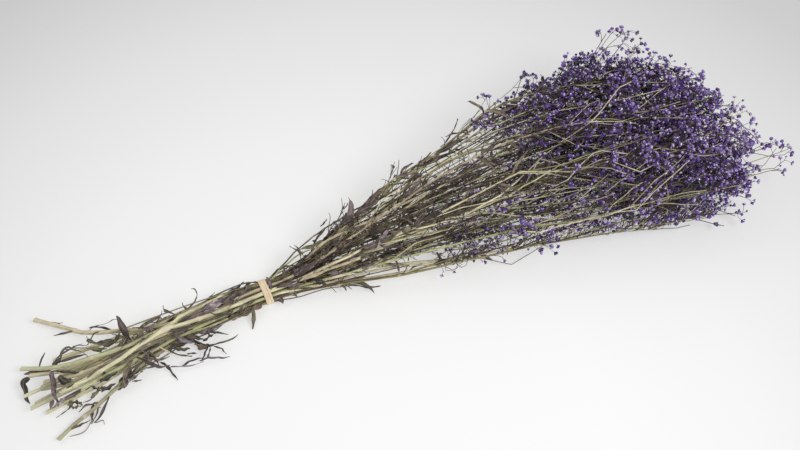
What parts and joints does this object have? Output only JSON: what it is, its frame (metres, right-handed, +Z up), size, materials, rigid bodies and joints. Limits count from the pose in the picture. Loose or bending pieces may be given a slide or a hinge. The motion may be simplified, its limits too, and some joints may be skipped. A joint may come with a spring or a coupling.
{
  "type": "preserved gypsophila bunch",
  "caption": "Bunch of preserved, dyed gypsophila lying down: leafy cut stems held by a rubber band fan out into a broad airy head of small flowers.",
  "frame": {"origin": "middle of the flat underside of the rubber band, on the surface that the bunch lies on", "axes": "+X along the bunch from the cut ends to the flower head, +Y across it, +Z up from the surface"},
  "size_m": [0.7047, 0.1914, 0.1156],
  "materials": {
    "stem": "matt, dried, khaki green",
    "leaf": "matt, dull purple-brown to dark green, dry",
    "flower": "matt, dyed deep violet",
    "band": "satin, pale tan"
  },
  "bodies": {
    "root": {"stem_01": "stem", "stem_02": "stem", "stem_03": "stem", "stem_04": "stem", "stem_05": "stem", "stem_06": "stem", "stem_07": "stem", "stem_08": "stem", "stem_09": "stem", "stem_10": "stem", "stem_11": "stem", "stem_12": "stem", "stem_13": "stem", "stem_14": "stem", "stem_15": "stem", "stem_16": "stem", "rubber_band": "band"}
  },
  "joints": []
}
